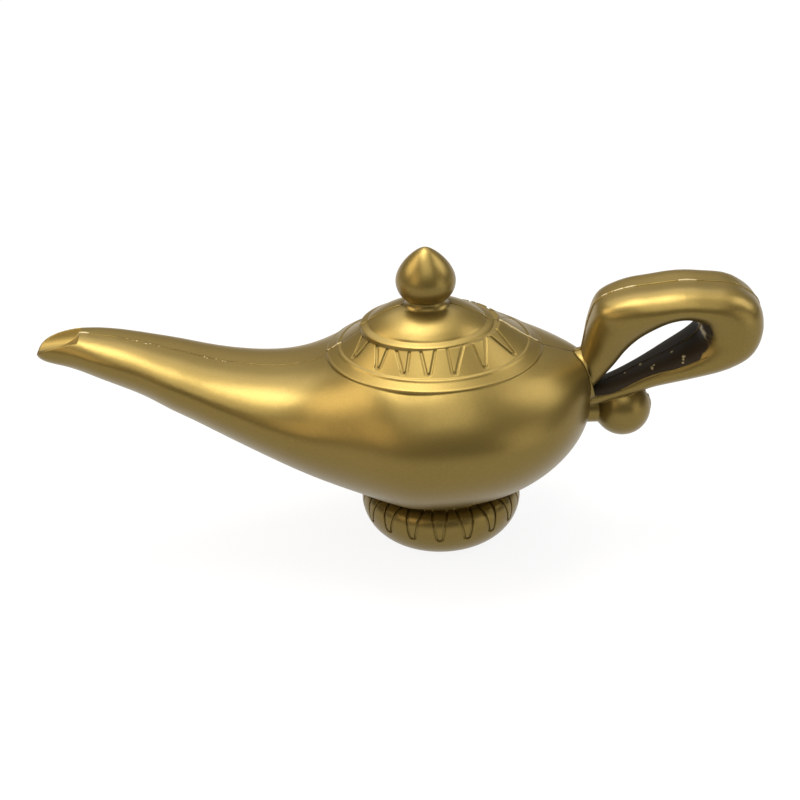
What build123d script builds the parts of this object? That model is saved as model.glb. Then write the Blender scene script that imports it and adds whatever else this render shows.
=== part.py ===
"""Genie oil lamp: a hollow moulded lamp in two half shells, with a strap handle, a knob and a bun foot.

Millimetres, +Z up. The origin is the centre of the foot's flat underside. The spout points to -X and the
handle to +X. The parting plane of the mouldings is Y = 0, and the front is the -Y side.
"""
from build123d import *
import math
import os

# Walls and fits
WALL = 2.0
FIT = 0.2
LIP_HEIGHT = 1.6

# Belly: an oval bowl, widest at one level, with a flat pad for the handle at its end
BELLY_LEVEL = 48.5
BELLY_REACH = 50.3
BELLY_HALF_WIDTH = 45.0
BELLY_DEPTH = 31.9
BELLY_RISE = 25.8
HEEL_LIFT = 1.12
PAD_SETBACK = 1.3
PAD_TOP = 63.0
SHOULDER_PULL = 67.6

# Ovals pass at this share of their width and height halfway round a quarter: 0.707 is an ellipse
UPPER_FULLNESS = 0.72
LOWER_FULLNESS = 0.707
STRAP_FULLNESS = 0.775

# Spout: each line starts at the mouth, bends by two pulls and ends on the belly
SPOUT_ROOT = 30.0
SPOUT_LENGTH = 97.0
SPOUT_NOSE = 3.4
SPOUT_STATIONS = 8
MOUTH_TOP = 77.6
MOUTH_WAIST = 73.3
MOUTH_BOTTOM = 68.5
MOUTH_HALF_WIDTH = 5.4
TOP_PULLS = (81.9, 51.2)
WAIST_PULLS = (76.4, 50.1)
BOTTOM_PULLS = (60.8, 30.4)
HALF_WIDTH_PULLS = (17.3, 17.3)

# Scoop at the spout's mouth: a closed trough that rises from the nose and curves up into a low back wall
SCOOP_LENGTH = 14.8
SCOOP_RADIUS = 7.0
SCOOP_LEDGE_LEVEL = 72.8
SCOOP_NOSE_LEVEL = 70.9
SCOOP_WALL_RUN = 3.5

# Lid, moulded in one with the shells: bead, rim and petal band about one axis, dome and neck about another
LID_X = -1.0
CROWN_X = -3.2
LID_SLIMNESS = 0.91
LID_BEAD_RADIUS = 35.2
LID_BEAD_LEVEL = 67.6
LID_BEAD_ROUND = 0.7
LID_RIM_RADIUS = 31.9
LID_RIM_LEVEL = 69.8
LID_BAND_RADIUS = 21.6
LID_BAND_LEVEL = 76.8
LID_RING_WIDTH = 2.4
LID_STEP = 0.6
LID_DOME_LEVEL = 83.4
NECK_RADIUS = 6.3
NECK_FLARE = 2.0
NECK_TOP = 86.0

# Petals cut into the lid's band and the foot's shoulder
# turns of a lid petal's left side at the band, its tip and its right side at the band
LID_PETALS = [
    (-88.0, -63.0, -63.5),
    (-60.0, -40.0, -41.2),
    (-37.7, -21.0, -20.8),
    (-14.2, -5.3, 0.9),
    (8.6, 11.3, 24.7),
    (31.5, 31.8, 49.4),
    (53.8, 59.0, 70.0),
]
LID_PETAL_TIP = 29.6
LID_PETAL_TIP_WIDTH = 2.6
LID_PETAL_RUN_ON = 0.3
FOOT_PETALS = 18
FOOT_PETAL_TURN = -3.0
FOOT_PETAL_TOP_WIDTH = 6.4
FOOT_PETAL_TIP_WIDTH = 3.0
FOOT_PETAL_TIP = 9.4
GROOVE_WIDTH = 0.9
GROOVE_DEPTH = 0.6

# Knob: an acorn bulb on a stem
KNOB_RADIUS = 9.7
KNOB_WIDEST = 92.0
KNOB_TOP = 103.4
KNOB_SEAT_RADIUS = 6.6
KNOB_TIP_ROUND = 2.6
STEM_RADIUS = 3.0
STEM_LENGTH = 7.0

# Foot: a bun with a flat underside and a post that plugs into the belly
FOOT_RADIUS = 26.7
FOOT_WIDEST = 12.5
FOOT_BASE_RADIUS = 14.5
FOOT_SWELL = (0.7, 0.32)
FOOT_NECK_RADIUS = 21.0
FOOT_NECK_LEVEL = 18.5
FOOT_FLOOR = 2.4
POST_RADIUS = 6.0
POST_PLUG = 5.0

# Handle: collar, strap, neck and ball, placed from the pad on the belly's end
COLLAR_RADIUS = 9.0
COLLAR_THICKNESS = 3.0
COLLAR_TILT = 15.0
COLLAR_RISE = 7.8
COLLAR_SETBACK = 0.7
BALL_RADIUS = 9.4
BALL_REACH = 11.9
BALL_DROP = 5.0
BALL_NECK_RADIUS = 4.8
PLUG_RADIUS = 3.6
PLUG_LENGTH = 6.0
# reach and rise of the outer point, reach and rise of the inner point, half width
STRAP_RIBS = [
    (-2.2, 15.9, 0.8, 2.9, 6.4),
    (-1.4, 20.0, 8.2, 12.1, 7.8),
    (0.1, 27.6, 12.3, 18.3, 10.0),
    (3.3, 34.6, 16.6, 23.1, 12.2),
    (11.5, 38.0, 21.5, 26.8, 13.6),
    (20.5, 39.2, 25.3, 28.9, 14.0),
    (29.4, 40.1, 29.5, 29.9, 14.3),
    (38.0, 39.6, 33.3, 29.4, 14.5),
    (47.3, 38.2, 35.8, 27.5, 14.6),
    (54.5, 32.9, 36.6, 25.1, 14.7),
    (56.0, 24.5, 36.2, 23.0, 14.7),
    (52.9, 16.8, 34.8, 21.1, 14.6),
    (44.8, 11.7, 31.7, 18.6, 13.6),
    (33.0, 8.1, 26.0, 15.2, 11.6),
    (21.0, 4.3, 17.4, 10.7, 8.2),
    (11.0, 0.3, 8.8, 6.3, 7.0),
    (-1.5, -3.4, -2.4, 2.2, 5.2),
]
STRAP_STEPS = 3
STRAP_JOINS = (0, 6, 8, 10, 12, 15, 16)
HOLLOW_JOINS = (2, 6, 8, 10, 12, 13)
# reach and rise of the pegs that join the handle's halves
HANDLE_PEGS = [(4.0, 17.0), (15.5, 5.9), (12.5, -5.0)]
PEG_RADIUS = 1.6
PEG_LENGTH = 3.0

# Values that follow from the sizes above
PAD_X = BELLY_REACH - PAD_SETBACK
MOUTH_X = -SPOUT_ROOT - SPOUT_LENGTH
TIP_X = MOUTH_X - SPOUT_NOSE
SCOOP_BACK = TIP_X + SCOOP_LENGTH
BALL_LEVEL = BELLY_LEVEL - BALL_DROP
FAR = 300.0


def bend(first, pulls, last, share):
    """Height on a smooth line from first to last that is drawn towards two pulls."""
    rest = 1 - share
    near = 3 * share * rest ** 2 * pulls[0]
    far = 3 * share ** 2 * rest * pulls[1]
    return first * rest ** 3 + near + far + last * share ** 3


def belly_rib(x):
    """Top, waist, bottom and half width of the belly at a place along its length."""
    grow = math.sqrt(1 - (x / BELLY_REACH) ** 2)
    crown = BELLY_LEVEL + BELLY_RISE
    top = BELLY_LEVEL + BELLY_RISE * grow
    if x > 0:
        top = bend(crown, (crown, SHOULDER_PULL), PAD_TOP, x / PAD_X)
    depth = BELLY_DEPTH * grow
    if x > 0:
        depth = BELLY_DEPTH * grow ** HEEL_LIFT
    return top, BELLY_LEVEL, BELLY_LEVEL - depth, BELLY_HALF_WIDTH * grow


def spout_rib(x):
    """Top, waist, bottom and half width of the spout at a place along its length."""
    share = (x - MOUTH_X) / SPOUT_LENGTH
    root_top, root_waist, root_bottom, root_half_width = belly_rib(-SPOUT_ROOT)
    top = bend(MOUTH_TOP, TOP_PULLS, root_top, share)
    waist = bend(MOUTH_WAIST, WAIST_PULLS, root_waist, share)
    bottom = bend(MOUTH_BOTTOM, BOTTOM_PULLS, root_bottom, share)
    half_width = bend(MOUTH_HALF_WIDTH, HALF_WIDTH_PULLS, root_half_width, share)
    return top, waist, bottom, half_width


def nose_rib(turn):
    """Place and rib of the rounded nose, where a turn of 90 degrees is the mouth."""
    grow = math.sin(math.radians(turn))
    x = MOUTH_X - SPOUT_NOSE * math.cos(math.radians(turn))
    top = MOUTH_WAIST + (MOUTH_TOP - MOUTH_WAIST) * grow
    bottom = MOUTH_WAIST - (MOUTH_WAIST - MOUTH_BOTTOM) * grow
    return x, (top, MOUTH_WAIST, bottom, MOUTH_HALF_WIDTH * grow)


def oval(plane, half_width, up, down, upper=UPPER_FULLNESS, lower=LOWER_FULLNESS):
    """Closed oval about the plane's origin, drawn as one smooth line from its right side."""
    points = [
        (half_width, 0),
        (half_width * upper, up * upper),
        (0, up),
        (-half_width * upper, up * upper),
        (-half_width, 0),
        (-half_width * lower, -down * lower),
        (0, -down),
        (half_width * lower, -down * lower),
    ]
    return plane * make_face(Spline(*points, periodic=True))


def body(inset, start, end):
    """Belly and spout as one smooth loft between two places, drawn in by the inset."""
    ribs = []
    if start <= TIP_X:
        ribs = [nose_rib(16), nose_rib(45)]
        start = MOUTH_X
    step = (-SPOUT_ROOT - start) / SPOUT_STATIONS
    for number in range(SPOUT_STATIONS):
        x = start + number * step
        ribs.append((x, spout_rib(x)))
    first_turn = -math.degrees(math.asin(SPOUT_ROOT / BELLY_REACH))
    last_turn = math.degrees(math.asin(end / BELLY_REACH))
    for share in (0, 0.3, 0.55, 0.75, 0.9, 1):
        x = BELLY_REACH * math.sin(math.radians(last_turn * share))
        ribs.append((x, belly_rib(x)))
    for turn in (first_turn, first_turn / 2):
        x = BELLY_REACH * math.sin(math.radians(turn))
        ribs.append((x, belly_rib(x)))
    ribs.sort()
    sections = []
    for x, (top, waist, bottom, half_width) in ribs:
        plane = Plane(origin=(x, 0, waist), x_dir=(0, 1, 0), z_dir=(1, 0, 0))
        sections.append(oval(plane, half_width - inset, top - waist - inset, waist - bottom - inset))
    return loft(sections)


def turned(outline):
    """Solid turned about the Z axis from a closed outline of radius and height."""
    return revolve(Plane.XZ * make_face(outline), Axis.Z)


def rod(radius, start, end):
    """Round bar between two points."""
    start = Vector(*start)
    along = Vector(*end) - start
    return extrude(Plane(origin=start, z_dir=along) * Circle(radius), along.length)


def lid_solid():
    """The lid's outer form, a rim with the petal band and a crown on it, with a skirt inside the belly."""
    low = LID_BEAD_LEVEL - 3 * WALL
    skirt = LID_BEAD_RADIUS - LID_BEAD_ROUND
    bead_low = (skirt, LID_BEAD_LEVEL - LID_BEAD_ROUND)
    bead_high = (skirt, LID_BEAD_LEVEL + LID_BEAD_ROUND)
    edge = (LID_RIM_RADIUS, LID_RIM_LEVEL)
    brow = (LID_RIM_RADIUS - 2 * LID_BEAD_ROUND, LID_RIM_LEVEL + LID_BEAD_ROUND)
    band = (LID_BAND_RADIUS, LID_BAND_LEVEL)
    rim = turned([
        Line((0, low), (skirt, low)),
        Line((skirt, low), bead_low),
        ThreePointArc(bead_low, (LID_BEAD_RADIUS, LID_BEAD_LEVEL), bead_high),
        Line(bead_high, edge),
        RadiusArc(edge, brow, -2 * LID_BEAD_ROUND),
        Line(brow, band),
        Line(band, (0, LID_BAND_LEVEL)),
        Line((0, LID_BAND_LEVEL), (0, low)),
    ])
    base = (LID_BAND_RADIUS, LID_BAND_LEVEL - 2 * LID_STEP)
    ring = (LID_BAND_RADIUS, LID_BAND_LEVEL + LID_STEP / 2)
    step = (LID_BAND_RADIUS - LID_STEP, LID_BAND_LEVEL + LID_STEP)
    inner = (LID_BAND_RADIUS - LID_RING_WIDTH, LID_BAND_LEVEL + 2 * LID_STEP)
    brim = (inner[0] - LID_STEP, inner[1] + LID_STEP)
    dome = (NECK_RADIUS + NECK_FLARE, LID_DOME_LEVEL)
    neck = (NECK_RADIUS, LID_DOME_LEVEL + NECK_FLARE)
    middle = ((brim[0] + dome[0]) / 2, (brim[1] + dome[1]) / 2 + LID_STEP)
    crown = turned([
        Line((0, base[1]), base),
        Line(base, ring),
        Line(ring, step),
        Line(step, inner),
        Line(inner, brim),
        ThreePointArc(brim, middle, dome),
        RadiusArc(dome, neck, 1.2 * NECK_FLARE),
        Line(neck, (NECK_RADIUS, NECK_TOP)),
        Line((NECK_RADIUS, NECK_TOP), (0, NECK_TOP)),
        Line((0, NECK_TOP), (0, base[1])),
    ])
    lid = Pos(LID_X, 0, 0) * (rim - lid_petals()) + Pos(CROWN_X, 0, 0) * crown
    return scale(lid, by=(1, LID_SLIMNESS, 1))


def lid_hollow(inset):
    """The space under the lid, drawn in by the inset."""
    low = LID_BEAD_LEVEL - 4 * WALL
    edge = (LID_RIM_RADIUS - inset, LID_RIM_LEVEL - inset)
    band = (LID_BAND_RADIUS - inset, LID_BAND_LEVEL - inset)
    dome = (NECK_RADIUS, LID_DOME_LEVEL - inset)
    middle = ((band[0] + dome[0]) / 2, (band[1] + dome[1]) / 2 + LID_STEP)
    rim = turned([
        Line((0, low), (edge[0], low)),
        Line((edge[0], low), edge),
        Line(edge, band),
        Line(band, (0, band[1])),
        Line((0, band[1]), (0, low)),
    ])
    crown = turned([
        Line((0, low), (band[0], low)),
        Line((band[0], low), band),
        ThreePointArc(band, middle, dome),
        Line(dome, (0, dome[1])),
        Line((0, dome[1]), (0, low)),
    ])
    space = Pos(LID_X, 0, 0) * rim + Pos(CROWN_X, 0, 0) * crown
    return scale(space, by=(1, LID_SLIMNESS, 1))


def hollow(inset):
    """The space inside the two shells, drawn in from the outer surface by the inset."""
    return body(inset, SCOOP_BACK + inset, PAD_X - inset) + lid_hollow(inset)


def groove_line(outline):
    """The line one groove wide that runs along the inside of a closed outline."""
    face = make_face(outline)
    return face - offset(face, -GROOVE_WIDTH)


def lid_point(radius, turn):
    """Place on the lid, seen from above, at a turn from the front."""
    angle = math.radians(turn)
    return Vector(radius * math.sin(angle), -radius * math.cos(angle))


def lid_petal(left, tip, right):
    """Groove line of a petal on the lid, whose sides run on under the crown."""
    end = lid_point(LID_PETAL_TIP, tip)
    along = end.normalized()
    across = Vector(-along.Y, along.X) * (LID_PETAL_TIP_WIDTH / 2)
    near = end - along * (LID_PETAL_TIP_WIDTH / 2)
    sides = []
    for turn, shoulder in ((left, near - across), (right, near + across)):
        top = lid_point(LID_BAND_RADIUS, turn)
        sides.append((top + (top - shoulder) * LID_PETAL_RUN_ON, shoulder))
    (left_top, left_end), (right_top, right_end) = sides
    return groove_line([
        Line(left_top, left_end),
        ThreePointArc(left_end, end, right_end),
        Line(right_end, right_top),
        Line(right_top, left_top),
    ])


def lid_petals():
    """Grooves of the petals on the lid's band, the same at the front and the back."""
    fall = LID_RIM_LEVEL + LID_BEAD_ROUND - LID_BAND_LEVEL
    run = LID_RIM_RADIUS - 2 * LID_BEAD_ROUND - LID_BAND_RADIUS
    near = (LID_BAND_RADIUS - WALL, LID_BAND_LEVEL - GROOVE_DEPTH - fall / run * WALL)
    far = (LID_RIM_RADIUS, near[1] + fall / run * (LID_RIM_RADIUS - near[0]))
    skin = turned(Polyline(near, far, (far[0], LID_DOME_LEVEL), (near[0], LID_DOME_LEVEL), close=True))
    grooves = []
    for left, tip, right in LID_PETALS:
        line = Plane.XY.offset(LID_BEAD_LEVEL) * lid_petal(left, tip, right)
        groove = skin & extrude(line, LID_DOME_LEVEL - LID_BEAD_LEVEL)
        grooves.append(groove)
        grooves.append(Rot(0, 0, 180) * groove)
    return grooves


def foot_outline(inset):
    """Closed outline of the bun foot, drawn in by the inset."""
    base = (FOOT_BASE_RADIUS, inset)
    swell_radius = FOOT_BASE_RADIUS + FOOT_SWELL[0] * (FOOT_RADIUS - FOOT_BASE_RADIUS)
    swell = (swell_radius - inset, FOOT_SWELL[1] * FOOT_WIDEST + inset / 2)
    wide = (FOOT_RADIUS - inset, FOOT_WIDEST)
    top = (FOOT_NECK_RADIUS - inset, FOOT_NECK_LEVEL - inset)
    high = FOOT_NECK_LEVEL + 4 * WALL
    return [
        Line((0, inset), base),
        ThreePointArc(base, swell, wide),
        Bezier(wide, (wide[0], top[1] - 1), (top[0] + 3, top[1]), top),
        Line(top, (top[0], high)),
        Line((top[0], high), (0, high)),
        Line((0, high), (0, inset)),
    ]


def foot_petals():
    """Grooves of the petals around the foot's shoulder."""
    skin = turned(foot_outline(-WALL / 2)) - turned(foot_outline(GROOVE_DEPTH))
    top = -FOOT_NECK_LEVEL - WALL
    turn = -FOOT_PETAL_TIP - FOOT_PETAL_TIP_WIDTH / 2
    side = FOOT_PETAL_TOP_WIDTH / 2
    end = FOOT_PETAL_TIP_WIDTH / 2
    line = groove_line([
        Line((top, -side), (turn, -end)),
        ThreePointArc((turn, -end), (-FOOT_PETAL_TIP, 0), (turn, end)),
        Line((turn, end), (top, side)),
        Line((top, side), (top, -side)),
    ])
    face = Plane(origin=(FOOT_NECK_RADIUS, 0, 0), x_dir=(0, 0, -1), z_dir=(1, 0, 0))
    groove = skin & extrude(face * line, FOOT_RADIUS)
    turns = [FOOT_PETAL_TURN - 90 + number * 360 / FOOT_PETALS for number in range(FOOT_PETALS)]
    return [Rot(0, 0, turn) * groove for turn in turns]


def between(ribs, number, share):
    """Rib on a smooth path through the ribs, at a share of the way from a rib to the next one."""
    last = len(ribs) - 1
    before, here, after, beyond = [ribs[min(max(number + k, 0), last)] for k in (-1, 0, 1, 2)]
    rib = []
    for a, b, c, d in zip(before, here, after, beyond):
        bow = (2 * a - 5 * b + 4 * c - d) * share ** 2 + (3 * b - 3 * c + d - a) * share ** 3
        rib.append(b + ((c - a) * share + bow) / 2)
    return rib


def strap(inset, joins):
    """The strap between two of its ribs, drawn in by the inset, as lofts that meet at the joins."""
    whole = None
    for first, last in zip(joins, joins[1:]):
        steps = range(first * STRAP_STEPS, last * STRAP_STEPS + 1)
        sections = []
        for number, share in [(step // STRAP_STEPS, step % STRAP_STEPS / STRAP_STEPS) for step in steps]:
            outer_x, outer_z, inner_x, inner_z, half_width = between(STRAP_RIBS, number, share)
            middle = ((outer_x + inner_x) / 2 + PAD_X, 0, (outer_z + inner_z) / 2 + BELLY_LEVEL)
            rise = Vector(outer_x - inner_x, 0, outer_z - inner_z)
            half = rise.length / 2 - inset
            plane = Plane(origin=middle, x_dir=(0, 1, 0), z_dir=(rise.Z, 0, -rise.X))
            sections.append(oval(plane, half_width - inset, half, half, STRAP_FULLNESS, STRAP_FULLNESS))
        length = loft(sections)
        whole = length if whole is None else whole + length
    return whole


def halves(solid):
    """Front and rear halves of a solid, split at the parting plane."""
    front = split(solid, bisect_by=Plane.XZ, keep=Keep.TOP)
    rear = split(solid, bisect_by=Plane.XZ, keep=Keep.BOTTOM)
    return front, rear


def make_scoop():
    """The room that the scoop takes out of the spout's mouth, round below and with a curved back wall."""
    nose = (TIP_X - WALL, SCOOP_NOSE_LEVEL)
    brink = (SCOOP_BACK + WALL / 4, MOUTH_TOP + WALL)
    corner = (TIP_X - WALL, MOUTH_TOP + WALL)
    run = (SCOOP_BACK - SCOOP_WALL_RUN, SCOOP_LEDGE_LEVEL)
    bend_up = (SCOOP_BACK - SCOOP_WALL_RUN / 4, SCOOP_LEDGE_LEVEL)
    side = make_face([Bezier(nose, run, bend_up, brink), Line(brink, corner), Line(corner, nose)])
    slope = (SCOOP_LEDGE_LEVEL - SCOOP_NOSE_LEVEL) / (run[0] - nose[0])
    start = (nose[0], 0, SCOOP_NOSE_LEVEL + SCOOP_RADIUS)
    end = (SCOOP_BACK + WALL, 0, start[2] + slope * (SCOOP_BACK + WALL - nose[0]))
    return extrude(Plane.XZ * side, SCOOP_RADIUS, both=True) & rod(SCOOP_RADIUS, start, end)


def make_shells():
    """The two half shells of body and lid, with a lip on the front one that fits inside the rear one."""
    form = body(0, TIP_X, PAD_X) - make_scoop() + lid_solid()
    inside = hollow(WALL)
    front, rear = halves(form - inside)
    boss_foot = (CROWN_X, 0, NECK_TOP - STEM_LENGTH - WALL)
    boss = rod(STEM_RADIUS + FIT + WALL, boss_foot, (CROWN_X, 0, LID_DOME_LEVEL))
    boss_room = rod(STEM_RADIUS + 2 * FIT + WALL, boss_foot, (CROWN_X, 0, NECK_TOP))
    front_boss, rear_boss = halves(boss)
    slot_slab = Pos(0, (LIP_HEIGHT + FIT) / 2, 0) * Box(2 * FAR, LIP_HEIGHT + FIT, 2 * FAR)
    lip_slab = Pos(0, (LIP_HEIGHT - WALL / 4) / 2, 0) * Box(2 * FAR, LIP_HEIGHT + WALL / 4, 2 * FAR)
    slot = (hollow(WALL / 2) & slot_slab) - inside
    lip = (hollow(WALL / 2 + FIT) & lip_slab) - inside - boss_room
    stem_foot = (CROWN_X, 0, NECK_TOP - STEM_LENGTH - FIT)
    holes = [
        rod(STEM_RADIUS + FIT, stem_foot, (CROWN_X, 0, NECK_TOP + WALL)),
        rod(POST_RADIUS + FIT, (0, 0, 0), (0, 0, BELLY_LEVEL)),
    ]
    for start, end in plug_lines(FIT):
        holes.append(rod(PLUG_RADIUS + FIT, start, end))
    front = front + lip + front_boss - holes
    rear = rear - slot + rear_boss - holes
    return front, rear


def plug_lines(extra):
    """Start and end of the two plugs that hold the handle, the collar's and the ball's."""
    lean = math.radians(COLLAR_TILT)
    along = Vector(math.cos(lean), 0, math.sin(lean))
    collar = Vector(PAD_X - COLLAR_SETBACK, 0, BELLY_LEVEL + COLLAR_RISE)
    ball = Vector(PAD_X, 0, BALL_LEVEL)
    forward = Vector(1, 0, 0)
    lines = []
    for centre, way in ((collar, along), (ball, forward)):
        lines.append((tuple(centre - way * (PLUG_LENGTH + extra)), tuple(centre + way * (WALL + extra))))
    return lines


def make_handle(clear_body):
    """The two halves of the handle, hollow in the strap, with pegs on the front one."""
    loop = strap(0, STRAP_JOINS)
    lean = math.radians(COLLAR_TILT)
    centre = Vector(PAD_X - COLLAR_SETBACK, 0, BELLY_LEVEL + COLLAR_RISE)
    half = Vector(math.cos(lean), 0, math.sin(lean)) * (COLLAR_THICKNESS / 2)
    collar = rod(COLLAR_RADIUS, tuple(centre - half), tuple(centre + half))
    ball = Pos(PAD_X + BALL_REACH, 0, BALL_LEVEL) * Sphere(BALL_RADIUS)
    neck = rod(BALL_NECK_RADIUS, (PAD_X - WALL, 0, BALL_LEVEL), (PAD_X + BALL_REACH, 0, BALL_LEVEL))
    whole = loop + collar + ball + neck
    whole = whole - clear_body
    for start, end in plug_lines(0):
        whole = whole + rod(PLUG_RADIUS, start, end)
    whole = whole - strap(WALL, HOLLOW_JOINS)
    front, rear = halves(whole)
    for reach, rise in HANDLE_PEGS:
        x = PAD_X + reach
        z = BELLY_LEVEL + rise
        front = front + rod(PEG_RADIUS, (x, -PEG_LENGTH, z), (x, PEG_LENGTH, z))
        rear = rear - rod(PEG_RADIUS + FIT, (x, -PEG_LENGTH, z), (x, PEG_LENGTH + FIT, z))
    return front, rear


def make_foot(clear_body):
    """The bun foot, a cup with a post in its middle that plugs into the belly."""
    post_top = BELLY_LEVEL - BELLY_DEPTH + WALL + POST_PLUG
    room = FOOT_NECK_RADIUS - WALL
    core = POST_RADIUS + WALL
    high = FOOT_NECK_LEVEL + 4 * WALL
    floor_edge = (FOOT_BASE_RADIUS - WALL, FOOT_FLOOR)
    cup = Polyline((core, high), (core, FOOT_FLOOR), floor_edge, (room, FOOT_WIDEST / 2), (room, high), close=True)
    bun = turned(foot_outline(0)) - foot_petals() - clear_body - turned(cup)
    return bun + rod(POST_RADIUS, (0, 0, FOOT_FLOOR), (0, 0, post_top))


def make_knob():
    """The acorn knob with its stem."""
    seat = (KNOB_SEAT_RADIUS, NECK_TOP)
    wide = (KNOB_RADIUS, KNOB_WIDEST)
    side = (KNOB_RADIUS - 0.25 * (KNOB_RADIUS - KNOB_SEAT_RADIUS), NECK_TOP + 0.45 * (KNOB_WIDEST - NECK_TOP))
    rise = KNOB_TOP - KNOB_WIDEST
    outline = [
        Line((0, NECK_TOP - STEM_LENGTH), (STEM_RADIUS, NECK_TOP - STEM_LENGTH)),
        Line((STEM_RADIUS, NECK_TOP - STEM_LENGTH), (STEM_RADIUS, NECK_TOP)),
        Line((STEM_RADIUS, NECK_TOP), seat),
        ThreePointArc(seat, side, wide),
        Bezier(wide, (KNOB_RADIUS, KNOB_WIDEST + 0.45 * rise), (KNOB_TIP_ROUND, KNOB_TOP), (0, KNOB_TOP)),
        Line((0, KNOB_TOP), (0, NECK_TOP - STEM_LENGTH)),
    ]
    return Pos(CROWN_X, 0, 0) * turned(outline)


if __name__ == "__main__":
    os.makedirs("parts", exist_ok=True)
    clear_body = body(-FIT, TIP_X, PAD_X + FIT)
    pieces = {}
    pieces["knob"] = make_knob()
    pieces["foot"] = make_foot(clear_body)
    pieces["handle_front"], pieces["handle_rear"] = make_handle(clear_body)
    pieces["front_shell"], pieces["rear_shell"] = make_shells()
    for name, solid in pieces.items():
        export_step(solid, f"parts/{name}.step")
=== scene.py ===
# %% [markdown]
# # A gold-painted genie lamp
# The real lamp is a hollow plastic moulding in two halves, with a handle, a knob and a foot fixed to it,
# and a coat of satin gold paint over everything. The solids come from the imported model, so this lesson
# only adds what a mould and a spray gun leave behind: the parting seam, specks of flash and glue, and the
# paint itself.

# %% Load the lamp's solids
import math
import random

import bmesh
import bpy
from mathutils import Matrix, Vector, noise
from mathutils.bvhtree import BVHTree
from mathutils.geometry import intersect_point_line


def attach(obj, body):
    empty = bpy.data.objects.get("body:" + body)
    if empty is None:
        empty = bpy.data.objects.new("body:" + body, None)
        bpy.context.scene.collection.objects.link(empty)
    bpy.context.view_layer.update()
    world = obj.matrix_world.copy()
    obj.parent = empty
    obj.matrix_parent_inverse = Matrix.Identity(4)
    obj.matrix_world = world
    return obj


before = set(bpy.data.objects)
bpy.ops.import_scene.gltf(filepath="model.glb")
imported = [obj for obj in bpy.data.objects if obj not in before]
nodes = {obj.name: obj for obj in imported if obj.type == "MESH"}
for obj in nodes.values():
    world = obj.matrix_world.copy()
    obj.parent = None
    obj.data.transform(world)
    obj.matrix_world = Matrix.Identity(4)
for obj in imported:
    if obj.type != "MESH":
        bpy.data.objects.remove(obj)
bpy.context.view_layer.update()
MM = 0.001
print("pieces", sorted(nodes))

# %% [markdown]
# ## Camera
# The photograph looks down on the front of the lamp with a long lens and a slight roll. The camera could
# be turned by hand until it fits, but its target, elevation, roll and distance can be measured from the
# lamp's outline and its round edges, so it is placed from these four.

# %% Place the camera
TARGET = Vector((-12.8, 0, 48.9)) * MM
ELEVATION = math.radians(28)
ROLL = math.radians(2.1)
DISTANCE = 600 * MM
LENS = 81.54
NEAREST_SEEN = 10 * MM


def put_in_scene(thing):
    """Link an object to the scene and return it."""
    bpy.context.scene.collection.objects.link(thing)
    return thing


right = Vector((1, 0, 0))
back = Vector((0, -math.cos(ELEVATION), math.sin(ELEVATION)))
up = back.cross(right)
rolled_right = right * math.cos(ROLL) - up * math.sin(ROLL)
rolled_up = right * math.sin(ROLL) + up * math.cos(ROLL)
turn = Matrix((rolled_right, rolled_up, back)).transposed().to_4x4()
camera = put_in_scene(bpy.data.objects.new("camera", bpy.data.cameras.new("camera")))
camera.data.lens = LENS
camera.data.clip_start = NEAREST_SEEN
camera.matrix_world = Matrix.Translation(TARGET + back * DISTANCE) @ turn
bpy.context.scene.camera = camera
print("camera at", [round(v, 3) for v in camera.matrix_world.translation])

# %% [markdown]
# ## Shader helpers
# Every finish here is a handful of nodes. They could be wired by hand in the shader editor. In a script,
# a few small helpers keep the cells short: one adds a node, one gives a node its inputs, one adds a Math
# node and one starts a node group.

# %% Node helpers
def add(tree, kind, settings=None, **sockets):
    """Add a node, set its properties and its input sockets by name."""
    node = tree.nodes.new(kind)
    for name, value in (settings or {}).items():
        setattr(node, name, value)
    for name, value in sockets.items():
        node.inputs[name.replace("_", " ")].default_value = value
    return node


def feed(tree, node, *values):
    """Link or set a node's first inputs, and leave those that are None."""
    for place, value in enumerate(values):
        if isinstance(value, bpy.types.NodeSocket):
            tree.links.new(value, node.inputs[place])
        elif value is not None:
            node.inputs[place].default_value = value


def math_node(tree, operation, first, second=None, clamp=False):
    """Add a Math node and return its output."""
    node = add(tree, "ShaderNodeMath", {"operation": operation, "use_clamp": clamp})
    feed(tree, node, first, second)
    return node.outputs[0]


def new_group(name, inputs, outputs):
    """Start a shader node group with number inputs and number outputs."""
    group = bpy.data.node_groups.new(name, "ShaderNodeTree")
    for label, value in inputs.items():
        socket = group.interface.new_socket(label, in_out="INPUT", socket_type="NodeSocketFloat")
        socket.default_value = value
    for label in outputs:
        group.interface.new_socket(label, in_out="OUTPUT", socket_type="NodeSocketFloat")
    return group, group.nodes.new("NodeGroupInput").outputs, group.nodes.new("NodeGroupOutput").inputs

# %% [markdown]
# ## Flake and spray
# Satin gold paint is clear binder full of tiny metal flakes. Close up, the flakes make a fine sparkle;
# from further away the spray leaves slow clouds of thicker and thinner paint. A picture of paint would
# need a UV map and would repeat, so both are noise on Object coordinates, which stay on the lamp. Several
# finishes use them, so they live in one node group. Tone varies about one, and Height is the flakes'
# relief.

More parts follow.
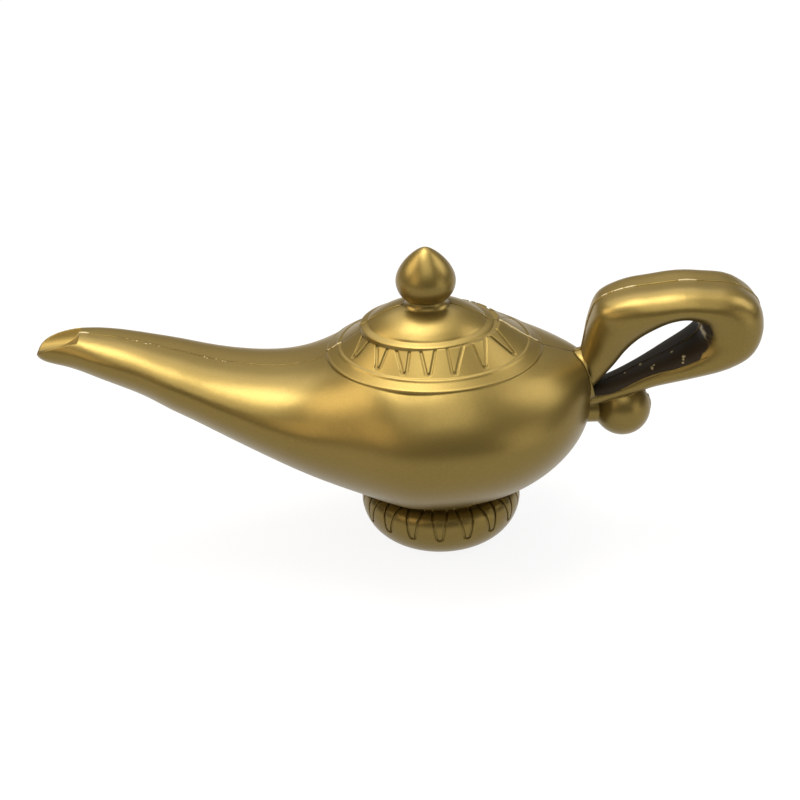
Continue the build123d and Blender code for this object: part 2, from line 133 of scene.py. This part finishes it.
# %% Group: flake and spray
flakes, given, made = new_group(
    "flake_and_spray",
    {"Flake Scale": 1500.0, "Flake Strength": 0.2, "Cloud Scale": 28.0, "Cloud Strength": 0.12},
    ("Tone", "Height"),
)
place = flakes.nodes.new("ShaderNodeTexCoord").outputs["Object"]
grain = add(flakes, "ShaderNodeTexNoise", Detail=2.0, Roughness=0.6)
cells = add(flakes, "ShaderNodeTexVoronoi")
cloud = add(flakes, "ShaderNodeTexNoise", Detail=3.0, Roughness=0.55)
for node, scale in ((grain, "Flake Scale"), (cells, "Flake Scale"), (cloud, "Cloud Scale")):
    flakes.links.new(place, node.inputs["Vector"])
    flakes.links.new(given[scale], node.inputs["Scale"])
speck = math_node(flakes, "SUBTRACT", grain.outputs[0], 0.5)
speck = math_node(flakes, "MULTIPLY", speck, given["Flake Strength"])
drift = math_node(flakes, "SUBTRACT", cloud.outputs[0], 0.5)
drift = math_node(flakes, "MULTIPLY", drift, given["Cloud Strength"])
tone = math_node(flakes, "ADD", math_node(flakes, "ADD", speck, drift), 1.0)
flakes.links.new(tone, made["Tone"])
flakes.links.new(cells.outputs["Distance"], made["Height"])
print("group", flakes.name)

# %% [markdown]
# ## Gold paint
# The paint has a brown-gold body colour with some metal in it, so it shades like paint and shines like
# satin metal. Full metal would look like brass, and none like mustard plastic. Tone from the group
# lightens and darkens the colour and breaks up the roughness, and the flakes' height gives a very fine
# bump. Thick paint rounds sharp edges, which a Bevel node does for the normals without touching the mesh.

# %% Finish: gold paint
GOLD = (0.218, 0.154, 0.041, 1)
METAL = 0.7
SATIN = 0.34
SHINE = 0.3
FLAKE = 0.22
FLAKE_BUMP = 0.12
FLAKE_HEIGHT = 0.02 * MM
EDGE_ROUND = 0.6 * MM


def paint_finish(name, colour=GOLD, metal=METAL):
    """A sprayed finish. Returns the material, its shader and the socket that carries its colour."""
    material = bpy.data.materials.new(name)
    material.use_nodes = True
    tree = material.node_tree
    shader = tree.nodes["Principled BSDF"]
    shader.inputs["Metallic"].default_value = metal
    shader.inputs["Specular IOR Level"].default_value = SHINE
    spray = add(tree, "ShaderNodeGroup", {"node_tree": flakes}, Flake_Strength=FLAKE)
    hue = add(tree, "ShaderNodeHueSaturation", Color=colour)
    tree.links.new(spray.outputs["Tone"], hue.inputs["Value"])
    tree.links.new(hue.outputs["Color"], shader.inputs["Base Color"])
    rough = math_node(tree, "SUBTRACT", 2.0, spray.outputs["Tone"])
    tree.links.new(math_node(tree, "MULTIPLY", rough, SATIN), shader.inputs["Roughness"])
    rounded = add(tree, "ShaderNodeBevel", {"samples": 8}, Radius=EDGE_ROUND)
    relief = add(tree, "ShaderNodeBump", Strength=FLAKE_BUMP, Distance=FLAKE_HEIGHT)
    tree.links.new(spray.outputs["Height"], relief.inputs["Height"])
    tree.links.new(rounded.outputs[0], relief.inputs["Normal"])
    tree.links.new(relief.outputs["Normal"], shader.inputs["Normal"])
    return material, shader, hue.outputs["Color"]


gold_paint = paint_finish("gold_paint")[0]
print("finish", gold_paint.name)

# %% [markdown]
# ## Painted shade in the parting line
# Behind the seam's ridge the two halves leave a fine crack, and a dark line of painted shade stands in for
# its shadow. It lies in the plane that parts the halves, so no painting by hand is needed: its mask is a
# narrow band of Object coordinates across that plane, broken by noise. Shells and handle both have the
# crack, so the mask is a group.

# %% Group: parting crack
SOFT_EDGE = 1.5
SHADE_GAIN, SHADE_LEAST = 1.6, -0.1

crack, given, made = new_group(
    "parting_crack_shade", {"Middle": 0.35 * MM, "Half Width": 0.28 * MM, "Depth": 0.95}, ("Crack",)
)
place = crack.nodes.new("ShaderNodeTexCoord").outputs["Object"]
split = crack.nodes.new("ShaderNodeSeparateXYZ")
crack.links.new(place, split.inputs[0])
broken = add(crack, "ShaderNodeTexNoise", Scale=240.0, Detail=3.0)
crack.links.new(place, broken.inputs["Vector"])
distance = math_node(crack, "ABSOLUTE", math_node(crack, "SUBTRACT", split.outputs["Y"], given["Middle"]))
widths = math_node(crack, "DIVIDE", distance, given["Half Width"])
near = math_node(crack, "SUBTRACT", SOFT_EDGE, widths, clamp=True)
broken_shade = math_node(crack, "MULTIPLY", broken.outputs[0], SHADE_GAIN)
broken_shade = math_node(crack, "ADD", broken_shade, SHADE_LEAST, clamp=True)
# painted shade: a dark line along the parting plane, broken by noise
line = math_node(crack, "MULTIPLY", math_node(crack, "MULTIPLY", near, broken_shade), given["Depth"])
crack.links.new(line, made["Crack"])
print("group", crack.name)

# %% Finish: shell paint
DARK_BROWN = (0.03, 0.02, 0.009, 1)


def mix_colour(tree, mask, colour, plain):
    """Mix a plain colour over a colour socket by a mask, and return the socket of the result."""
    mix = add(tree, "ShaderNodeMix", {"data_type": "RGBA"})
    colours = [socket for socket in mix.inputs if socket.type == "RGBA"]
    colours[1].default_value = plain
    tree.links.new(mask, mix.inputs[0])
    tree.links.new(colour, colours[0])
    return mix.outputs[2]


def shade_the_crack(material, shader, colour):
    """Mix the painted shade of the parting crack into a finish, and return the socket of its new colour.
    """
    tree = material.node_tree
    band = add(tree, "ShaderNodeGroup", {"node_tree": crack})
    # painted shade: dark brown mixed into the colour along the crack
    shaded_colour = mix_colour(tree, band.outputs["Crack"], colour, DARK_BROWN)
    tree.links.new(shaded_colour, shader.inputs["Base Color"])
    return shaded_colour


shell_paint, shell_shader, shell_colour = paint_finish("shell_paint")
shade_the_crack(shell_paint, shell_shader, shell_colour)
print("finish", shell_paint.name)

# %% [markdown]
# ## Dark inside the handle's loop
# The inside of the loop is dark brown. The area could be painted as a vertex colour, but its edge would
# then be as coarse as the mesh. Instead it is worked out in the shader. This first cell measures how
# squarely a surface looks towards the long axis of the loop.

# %% Handle paint: what looks into the loop
LOOP_MIDDLE = Vector((71, 0, 68)) * MM
LOOP_AXIS = Vector((0.887, 0, 0.461))
LOOP_HALF = 15 * MM


def vector_node(tree, operation, first, second=None):
    """Add a Vector Math node and return it."""
    node = add(tree, "ShaderNodeVectorMath", {"operation": operation})
    feed(tree, node, first, second)
    return node


handle_paint, handle_shader, handle_colour = paint_finish("handle_paint")
handle_colour = shade_the_crack(handle_paint, handle_shader, handle_colour)
tree = handle_paint.node_tree
spot = add(tree, "ShaderNodeTexCoord").outputs
offset = vector_node(tree, "SUBTRACT", spot["Object"], LOOP_MIDDLE).outputs[0]
offset = vector_node(tree, "MULTIPLY", offset, (1, 0, 1)).outputs[0]
reach = vector_node(tree, "DOT_PRODUCT", offset, LOOP_AXIS).outputs["Value"]
along = math_node(tree, "MINIMUM", math_node(tree, "MAXIMUM", reach, -LOOP_HALF), LOOP_HALF)
nearest = vector_node(tree, "SCALE", LOOP_AXIS)
tree.links.new(along, nearest.inputs["Scale"])
aim = vector_node(tree, "SUBTRACT", nearest.outputs[0], offset).outputs[0]
aim = vector_node(tree, "NORMALIZE", aim).outputs[0]
facing = vector_node(tree, "DOT_PRODUCT", aim, spot["Normal"]).outputs["Value"]
print("loop axis is", round(2 * LOOP_HALF / MM), "mm long")

# %% [markdown]
# The dark area ends where a surface no longer faces the loop enough. On the lower arm little facing is
# needed, so it reaches round the edge; under the strap and at the bow more is needed. A fine noise makes
# the edge ragged, and nothing below the arm's rim is dark.

# %% Handle paint: where the dark area ends
LOOP_UP = Vector((-0.461, 0, 0.887))
ARM_EDGE = Vector((58.8, 0, 52.8)) * MM
ARM_SLOPE = Vector((-0.454, 0, 0.891))
ARM_FACING, STRAP_FACING, BOW_FACING = 0.25, 0.8, 0.72
RAGGED = 0.12


def ramp(tree, value, settings=None, **ends):
    """Map a value from one range to another and return the result's socket."""
    node = add(tree, "ShaderNodeMapRange", settings, **ends)
    tree.links.new(value, node.inputs["Value"])
    return node.outputs[0]


side = vector_node(tree, "DOT_PRODUCT", offset, LOOP_UP).outputs["Value"]
strap = ramp(tree, side, From_Min=-3 * MM, From_Max=3 * MM, To_Min=ARM_FACING, To_Max=STRAP_FACING)
bow = ramp(tree, reach, From_Min=6 * MM, From_Max=12 * MM, To_Min=ARM_FACING, To_Max=BOW_FACING)
ragged = add(tree, "ShaderNodeTexNoise", Scale=420.0, Detail=4.0)
tree.links.new(spot["Object"], ragged.inputs["Vector"])
edge = math_node(tree, "ADD", facing, math_node(tree, "MULTIPLY", ragged.outputs[0], RAGGED))
edge = math_node(tree, "SUBTRACT", edge, math_node(tree, "MAXIMUM", strap, bow))
inside = ramp(tree, edge, {"interpolation_type": "SMOOTHSTEP"}, From_Min=0.02, From_Max=0.1)
rise = vector_node(tree, "SUBTRACT", spot["Object"], ARM_EDGE).outputs[0]
rise = vector_node(tree, "DOT_PRODUCT", rise, ARM_SLOPE).outputs["Value"]
above_rim = ramp(tree, rise, From_Min=-0.2 * MM, From_Max=0.3 * MM)
# dark brown where surfaces face into the loop, above the arm's rim
loop_dark = math_node(tree, "MULTIPLY", inside, above_rim, clamp=True)
print("mask of", len(tree.nodes), "nodes")

# %% [markdown]
# The dark area is brown, has no metal in it and is duller than the paint, so the same mask mixes the
# colour, lowers Metallic and raises Roughness.

# %% Handle paint: the dark area
LOOP_DULL = 0.3

tree.links.new(mix_colour(tree, loop_dark, handle_colour, DARK_BROWN), handle_shader.inputs["Base Color"])
outside_dark = math_node(tree, "SUBTRACT", 1.0, loop_dark)
tree.links.new(math_node(tree, "MULTIPLY", outside_dark, METAL), handle_shader.inputs["Metallic"])
painted_rough = handle_shader.inputs["Roughness"].links[0].from_socket
loop_rough = math_node(tree, "ADD", painted_rough, math_node(tree, "MULTIPLY", loop_dark, LOOP_DULL))
tree.links.new(loop_rough, handle_shader.inputs["Roughness"])
print("finish", handle_paint.name)

# %% [markdown]
# ## Parting seam
# Where the halves of a mould meet, a little plastic squeezes out and leaves a fine ridge. It runs along
# the top of the spout, over the lid and round the handle. Its path could be drawn by eye, but the solids
# know it exactly: each front half is cut just in front of the parting plane with bisect, which leaves
# only the cut's edges.
#
# The cut also shows the inner walls, the plugs and the pegs. To tell them apart, a ray goes out from each
# point, away from a rough core line of the piece, and a point that another surface covers is dropped.
# This first cell makes the tree that the rays are tested against and the two core lines, in millimetres
# of X and Z.

# %% The lamp's skin and its core lines
BODY_CORE = ((-130, 73), (-100, 70.5), (-75, 62), (-50, 54), (-30, 48.5), (49, 48.5))
STRAP_CORE = ((49, 58), (57, 73), (68, 82), (88, 83), (95, 76), (84, 63), (66, 54), (48, 47.5))

skin_points = []
skin_faces = []
for name in sorted(nodes):
    first = len(skin_points)
    skin_points += [vertex.co.copy() for vertex in nodes[name].data.vertices]
    skin_faces += [[first + corner for corner in face.vertices] for face in nodes[name].data.polygons]
skin = BVHTree.FromPolygons(skin_points, skin_faces)


def away_from(point, core):
    """The direction from the nearest point of a core line to a point."""
    ends = [Vector((x, 0, z)) * MM for x, z in core]
    feet = []
    for first, last in zip(ends, ends[1:]):
        share = intersect_point_line(point, first, last)[1]
        feet.append(first.lerp(last, min(max(share, 0), 1)))
    return min((point - foot for foot in feet), key=lambda reach: reach.length).normalized()


print("skin of", len(skin_faces), "faces")

# %% [markdown]
# What the rays leave is walked from each loose end, edge by edge, so that the points come in order, and
# then set a fixed step apart, because the solids' own points crowd together in tight curves.

# %% Find the parting lines
MERGE = 0.002 * MM
CUT_AHEAD = 0.1 * MM
RAY_START = 0.1 * MM
COVER = 3 * MM
STEP = 0.6 * MM
FEWEST_POINTS = 20


def evenly(line, step):
    """Points a fixed step apart along a line."""
    points = [line[0]]
    for point in line[1:]:
        while (point - points[-1]).length >= step:
            points.append(points[-1] + (point - points[-1]).normalized() * step)
    return points


def walk(start, waiting):
    """The points from a loose end to the next, each taken off the list of those that wait."""
    line = []
    vertex = start if start in waiting else None
    while vertex is not None:
        waiting.discard(vertex)
        line.append(vertex.co * 1)
        beside = [edge.other_vert(vertex) for edge in vertex.link_edges]
        vertex = next((other for other in beside if other in waiting), None)
    return line


def parting_lines(node, core):
    """The outer edges of a front half at the parting plane, as lists of points in order."""
    bm = bmesh.new()
    bm.from_mesh(node.data)
    bmesh.ops.remove_doubles(bm, verts=bm.verts, dist=MERGE)
    whole = bm.verts[:] + bm.edges[:] + bm.faces[:]
    bmesh.ops.bisect_plane(
        bm, geom=whole, plane_co=(0, -CUT_AHEAD, 0), plane_no=(0, 1, 0), clear_inner=True, clear_outer=True
    )
    covered = []
    for vertex in bm.verts:
        out = away_from(vertex.co, core)
        if skin.ray_cast(vertex.co + out * RAY_START, out, COVER)[0] is not None:
            covered.append(vertex)
    bmesh.ops.delete(bm, geom=covered, context="VERTS")
    waiting = set(bm.verts)
    loose_ends = [vertex for vertex in bm.verts if len(vertex.link_edges) == 1]
    lines = [walk(start, waiting) for start in loose_ends]
    bm.free()
    return [evenly(line, STEP) for line in lines if len(line) > FEWEST_POINTS]


body_lines = parting_lines(nodes["front_shell"], BODY_CORE)
handle_lines = parting_lines(nodes["handle_front"], STRAP_CORE)
print("seam stretches", [len(line) for line in body_lines], [len(line) for line in handle_lines])

# %% [markdown]
# Each line becomes a thin curve with a round bevel, and noise makes it thicker and thinner along its
# length. The curve is then made a mesh, because a curve's own box counts the radius of its points in
# metres, and its end caps are merged with its tube, so that it is closed. The helpers also serve the
# other small pieces below.

# %% Helpers for thin pieces
def small_piece(name, mesh, finish):
    """Make a mesh a smooth piece of the lamp in one finish."""
    mesh.materials.clear()
    mesh.materials.append(finish)
    mesh.shade_smooth()
    piece = put_in_scene(bpy.data.objects.new(name, mesh))
    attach(piece, "root")


def bevelled_curve(name, thickness):
    """An empty curve in space with a round bevel and closed ends."""
    curve = bpy.data.curves.new(name, "CURVE")
    curve.dimensions = "3D"
    curve.bevel_depth = thickness
    curve.bevel_resolution = 1
    curve.use_fill_caps = True
    return curve


def curve_piece(name, curve, finish):
    """Make a bevelled curve a closed mesh piece."""
    path = put_in_scene(bpy.data.objects.new(name + "_path", curve))
    mesh = bpy.data.meshes.new_from_object(path.evaluated_get(bpy.context.evaluated_depsgraph_get()))
    bpy.data.objects.remove(path)
    bm = bmesh.new()
    bm.from_mesh(mesh)
    bmesh.ops.remove_doubles(bm, verts=bm.verts, dist=MERGE)
    bm.to_mesh(mesh)
    open_edges = sum(not edge.is_manifold for edge in bm.edges)
    bm.free()
    small_piece(name, mesh, finish)
    print(name, "has", len(mesh.polygons), "faces and", open_edges, "open edges")

# %% [markdown]
# The ridge stops where the spout's scoop begins, and it is stouter on the lid, where the photograph shows
# it best. Inside the loop it has the handle's paint, so that it is dark there too.

# %% Lay the ridges along the lines
SCOOP_END = -116 * MM
BODY_RIDGE = 0.17 * MM
HANDLE_RIDGE = 0.3 * MM
PROUD = 0.05 * MM
LOOP_TOP = 82 * MM
LID_REACH = 38 * MM
LID_SWELL = 1.6
SLOW_WAVE, FAST_WAVE = 350, 1200
SLOW_SHARE, FAST_SHARE = 0.5, 0.3


def seam_ridge(name, lines, thickness, finish, swell=1.0, shift=0.0):
    """Thin pieces along the parting lines, thicker and thinner as they go, and swollen on the lid."""
    curve = bevelled_curve(name, thickness)
    for line in lines:
        spline = curve.splines.new("POLY")
        spline.points.add(len(line) - 1)
        for point, place in zip(spline.points, line):
            point.co = (place.x, PROUD, place.z, 1)
            wave = place + Vector((0, shift, 0))
            stout = swell if abs(place.x) < LID_REACH else 1
            slow = SLOW_SHARE * noise.noise(wave * SLOW_WAVE)
            fast = FAST_SHARE * noise.noise(wave * FAST_WAVE)
            point.radius = stout * (1 + slow + fast)
    curve_piece(name, curve, finish)


top_lines = [[point for point in line if point.x > SCOOP_END] for line in body_lines]
top_lines = [line for line in top_lines if line]
seam_ridge("body_seam_ridge", top_lines, BODY_RIDGE, gold_paint, swell=LID_SWELL)
outer_lines = [line for line in handle_lines if max(point.z for point in line) > LOOP_TOP]
inner_lines = [line for line in handle_lines if line not in outer_lines]
seam_ridge("handle_seam_ridge", outer_lines, HANDLE_RIDGE, gold_paint)
seam_ridge("loop_seam_ridge", inner_lines, HANDLE_RIDGE, handle_paint)

# %% [markdown]
# ## Torn flash
# In a few places the ridge was torn rather than trimmed, and its paint came off, so it shows as a
# thicker, paler strip. The strips follow the parting lines between two places along the lamp, above a
# lowest height, all in millimetres. Their noise is shifted, so that they don't swell just where the ridge
# does.

# %% Strips of torn flash
FLASH_STRIPS = ((53, 64.5, 80), (77.5, 84.5, 80), (19, 33, 60), (-37, -28, 60), (-116, -112.5, 70))
FLASH_PALE = (0.44, 0.36, 0.19, 1)
FLASH_METAL = 0.2
STRIP = 0.36 * MM
STRIP_SHIFT = 0.05
FEWEST_IN_STRIP = 4

bare_flash = paint_finish("bare_flash", FLASH_PALE, FLASH_METAL)[0]
strips = []
for start, end, lowest in FLASH_STRIPS:
    for line in body_lines + handle_lines:
        strip = [point for point in line if start * MM < point.x < end * MM and point.z > lowest * MM]
        if len(strip) >= FEWEST_IN_STRIP:
            strips.append(strip)
seam_ridge("torn_flash", strips, STRIP, bare_flash, shift=STRIP_SHIFT)

# %% [markdown]
# ## Rim of the loop
# The lower arm of the loop has a sharp rim where the dark inside begins. It could be creased into the
# solid, but it is only a bead of paint, so a smooth curve goes through a few points that are drawn onto
# the skin. Its ends are thinner, so that it runs out.

# %% The rim
RIM_POINTS = (
    (58.8, -6.8, 52.9),
    (66.8, -7.4, 57.3),
    (71.1, -8.5, 59.5),
    (77.8, -10.9, 62.5),
    (85.9, -12.7, 67.1),
)
RIM = 0.28 * MM
RIM_END = 0.4

rim_curve = bevelled_curve("loop_rim", RIM)
knots = rim_curve.splines.new("BEZIER").bezier_points
knots.add(len(RIM_POINTS) - 1)
for knot, place in zip(knots, RIM_POINTS):
    knot.co = skin.find_nearest(Vector(place) * MM)[0]
    knot.handle_left_type = knot.handle_right_type = "AUTO"
knots[0].radius = knots[-1].radius = RIM_END
curve_piece("loop_rim", rim_curve, gold_paint)

# %% [markdown]
# ## Flash and glue specks
# Trimming the seam leaves torn specks of flash beside it, and a few drops of glue dried inside the loop.
# A particle system could strew them, but there are few, and they lie where the photograph shows them.
# Each speck is a small sphere, squashed and turned at random but from a fixed seed, and set on the
# nearest point of the skin. The flash comes in runs along the seam: from, to and height in millimetres,
# and a count.

# %% Scatter the specks
FLASH_RUNS = (
    (-117, -113, 77, 5),
    (-96, -89, 73, 16),
    (-106, -96, 75, 6),
    (-88, -60, 70, 10),
    (18, 32, 75, 8),
)
FLASH_SPREAD = (-0.7, 0.4)
FLASH_SIZES = (0.12, 0.3)
GLUE_SPOTS = (
    (61.2, -1.2, 56.7),
    (66.4, -0.8, 59.2),
    (69.5, -5.9, 60.4),
    (70.2, -5.2, 60.9),
    (76.3, -3.0, 64.5),
    (78.8, -10.0, 64.0),
    (79.1, -9.2, 64.7),
    (79.3, -8.4, 65.3),
    (85.7, -4.9, 73.4),
)
GLUE_SIZES = (0.35, 0.6)
FULL_TURN = 6.3
LONGER = (0.8, 2.0)
FLATTER = 0.7
LUMPS = 2500
LUMP_HEIGHT = 0.08 * MM
chance = random.Random(7)


def scatter(name, places, sizes, finish):
    """Squashed spheres on the skin near the places given, as one piece."""
    bm = bmesh.new()
    for place in places:
        spot, facing = skin.find_nearest(place)[:2]
        spin = Matrix.Rotation(chance.uniform(0, FULL_TURN), 4, "Z")
        turn = facing.to_track_quat("Z", "Y").to_matrix().to_4x4() @ spin
        size = chance.uniform(*sizes) * MM
        shape = Matrix.Diagonal((size * chance.uniform(*LONGER), size, size * FLATTER, 1))
        set_down = Matrix.Translation(spot) @ turn @ shape
        bmesh.ops.create_icosphere(bm, subdivisions=2, radius=1, matrix=set_down)
    for vertex in bm.verts:
        vertex.co += noise.noise_vector(vertex.co * LUMPS) * LUMP_HEIGHT
    mesh = bpy.data.meshes.new(name)
    bm.to_mesh(mesh)
    bm.free()
    small_piece(name, mesh, finish)
    print(name, len(places), "specks")


flash_places = []
for start, end, height, count in FLASH_RUNS:
    for number in range(count):
        spread = chance.uniform(*FLASH_SPREAD)
        flash_places.append(Vector((chance.uniform(start, end), spread, height)) * MM)
scatter("flash_specks", flash_places, FLASH_SIZES, bare_flash)
scatter("glue_specks", [Vector(place) * MM for place in GLUE_SPOTS], GLUE_SIZES, bare_flash)

# %% [markdown]
# ## Paint on the solids
# The solids already have the lamp's shape, so they keep their meshes, and only their materials change.

# %% Give each solid its finish
for name, node in nodes.items():
    finish = gold_paint
    if name.startswith("handle"):
        finish = handle_paint
    elif name.endswith("shell"):
        finish = shell_paint
    node.data.materials.clear()
    node.data.materials.append(finish)
    print(name, "gets", finish.name, "faces", len(node.data.polygons))

# %% [markdown]
# ## Floor and world
# The photograph is a cut-out on white. More light would bleach the paint, so the white is in the floor:
# for the camera, for glossy surfaces and through clear ones it glows almost white, and a tenth of it is a
# diffuse surface that keeps the lamp's shadow. For all other rays it is grey, so that it throws little
# light up at the lamp. The world is a dim white that fills the shadows.

# %% Floor and world
WORLD_LEVEL = 0.16
FLOOR_HALF = 12
FLOOR_GREY = (0.3, 0.3, 0.3, 1)
FLOOR_WHITE = (0.9, 0.9, 0.9, 1)
WHITE = (1, 1, 1, 1)
SHADOW_SHARE = 0.1

world = bpy.data.worlds.new("studio")
world.use_nodes = True
backdrop = world.node_tree.nodes["Background"].inputs
backdrop["Color"].default_value = WHITE
backdrop["Strength"].default_value = WORLD_LEVEL
bpy.context.scene.world = world

floor_mesh = bmesh.new()
bmesh.ops.create_grid(floor_mesh, x_segments=1, y_segments=1, size=FLOOR_HALF)
floor = put_in_scene(bpy.data.objects.new("floor", bpy.data.meshes.new("floor")))
floor_mesh.to_mesh(floor.data)
floor_mesh.free()
print("floor", 2 * FLOOR_HALF, "m wide")

# %% Finish: pale floor
paper = bpy.data.materials.new("pale_floor")
paper.use_nodes = True
tree = paper.node_tree
tree.nodes.remove(tree.nodes["Principled BSDF"])
grey = add(tree, "ShaderNodeBsdfDiffuse", Color=FLOOR_GREY)
white = add(tree, "ShaderNodeBsdfDiffuse", Color=FLOOR_WHITE)
glow = add(tree, "ShaderNodeEmission", Color=WHITE)
seen = add(tree, "ShaderNodeMixShader", Fac=SHADOW_SHARE)
feed(tree, seen, None, glow.outputs[0], white.outputs[0])
path = tree.nodes.new("ShaderNodeLightPath").outputs
is_seen = math_node(tree, "MAXIMUM", path["Is Camera Ray"], path["Is Glossy Ray"])
is_seen = math_node(tree, "MAXIMUM", is_seen, path["Is Transmission Ray"])
choice = tree.nodes.new("ShaderNodeMixShader")
feed(tree, choice, is_seen, grey.outputs[0], seen.outputs[0])
tree.links.new(choice.outputs[0], tree.nodes["Material Output"].inputs["Surface"])
floor.data.materials.append(paper)
print("finish", paper.name)

# %% [markdown]
# ## Studio lights
# Satin paint shows where its light comes from. The highlights on the belly, the spout, the knob and the
# strap were traced back to soft lights above, behind, in front and on both sides, the left ones warmer.
# Each is a square area light that looks at the middle of the lamp: its place in metres, its size, its
# power in watts and its colour.

# %% Hang the studio lights
STUDIO_LIGHTS = {
    "over": ((-0.1, 0.1, 0.85), 0.44, 5.8, (1.0, 0.98, 0.93)),
    "sky": ((-0.05, 0.48, 0.95), 1.0, 7.5, (1.0, 0.98, 0.94)),
    "front": ((0.05, -0.42, 0.85), 0.6, 2.6, (1.0, 0.98, 0.94)),
    "left_warm": ((-0.62, 0.06, 0.62), 0.46, 3.4, (1.0, 0.86, 0.68)),
    "left_front": ((-0.5, -0.45, 0.42), 0.4, 1.0, (1.0, 0.8, 0.58)),
    "right": ((0.62, 0.12, 0.58), 0.44, 2.4, (1.0, 0.97, 0.93)),
    "right_front": ((0.66, -0.42, 0.2), 0.4, 0.7, (1.0, 0.95, 0.88)),
}
for name, (place, size, power, colour) in STUDIO_LIGHTS.items():
    light = put_in_scene(bpy.data.objects.new(name, bpy.data.lights.new(name, "AREA")))
    light.data.size = size
    light.data.energy = power
    light.data.color = colour
    light.visible_camera = False
    light.location = place
    light.rotation_mode = "QUATERNION"
    light.rotation_quaternion = (TARGET - Vector(place)).to_track_quat("-Z", "Y")
    print("light", name, power, "W")

# %% [markdown]
# ## View transform
# Looks never change the lamp's size.

# %% Set the view transform
bpy.context.scene.view_settings.view_transform = "Standard"
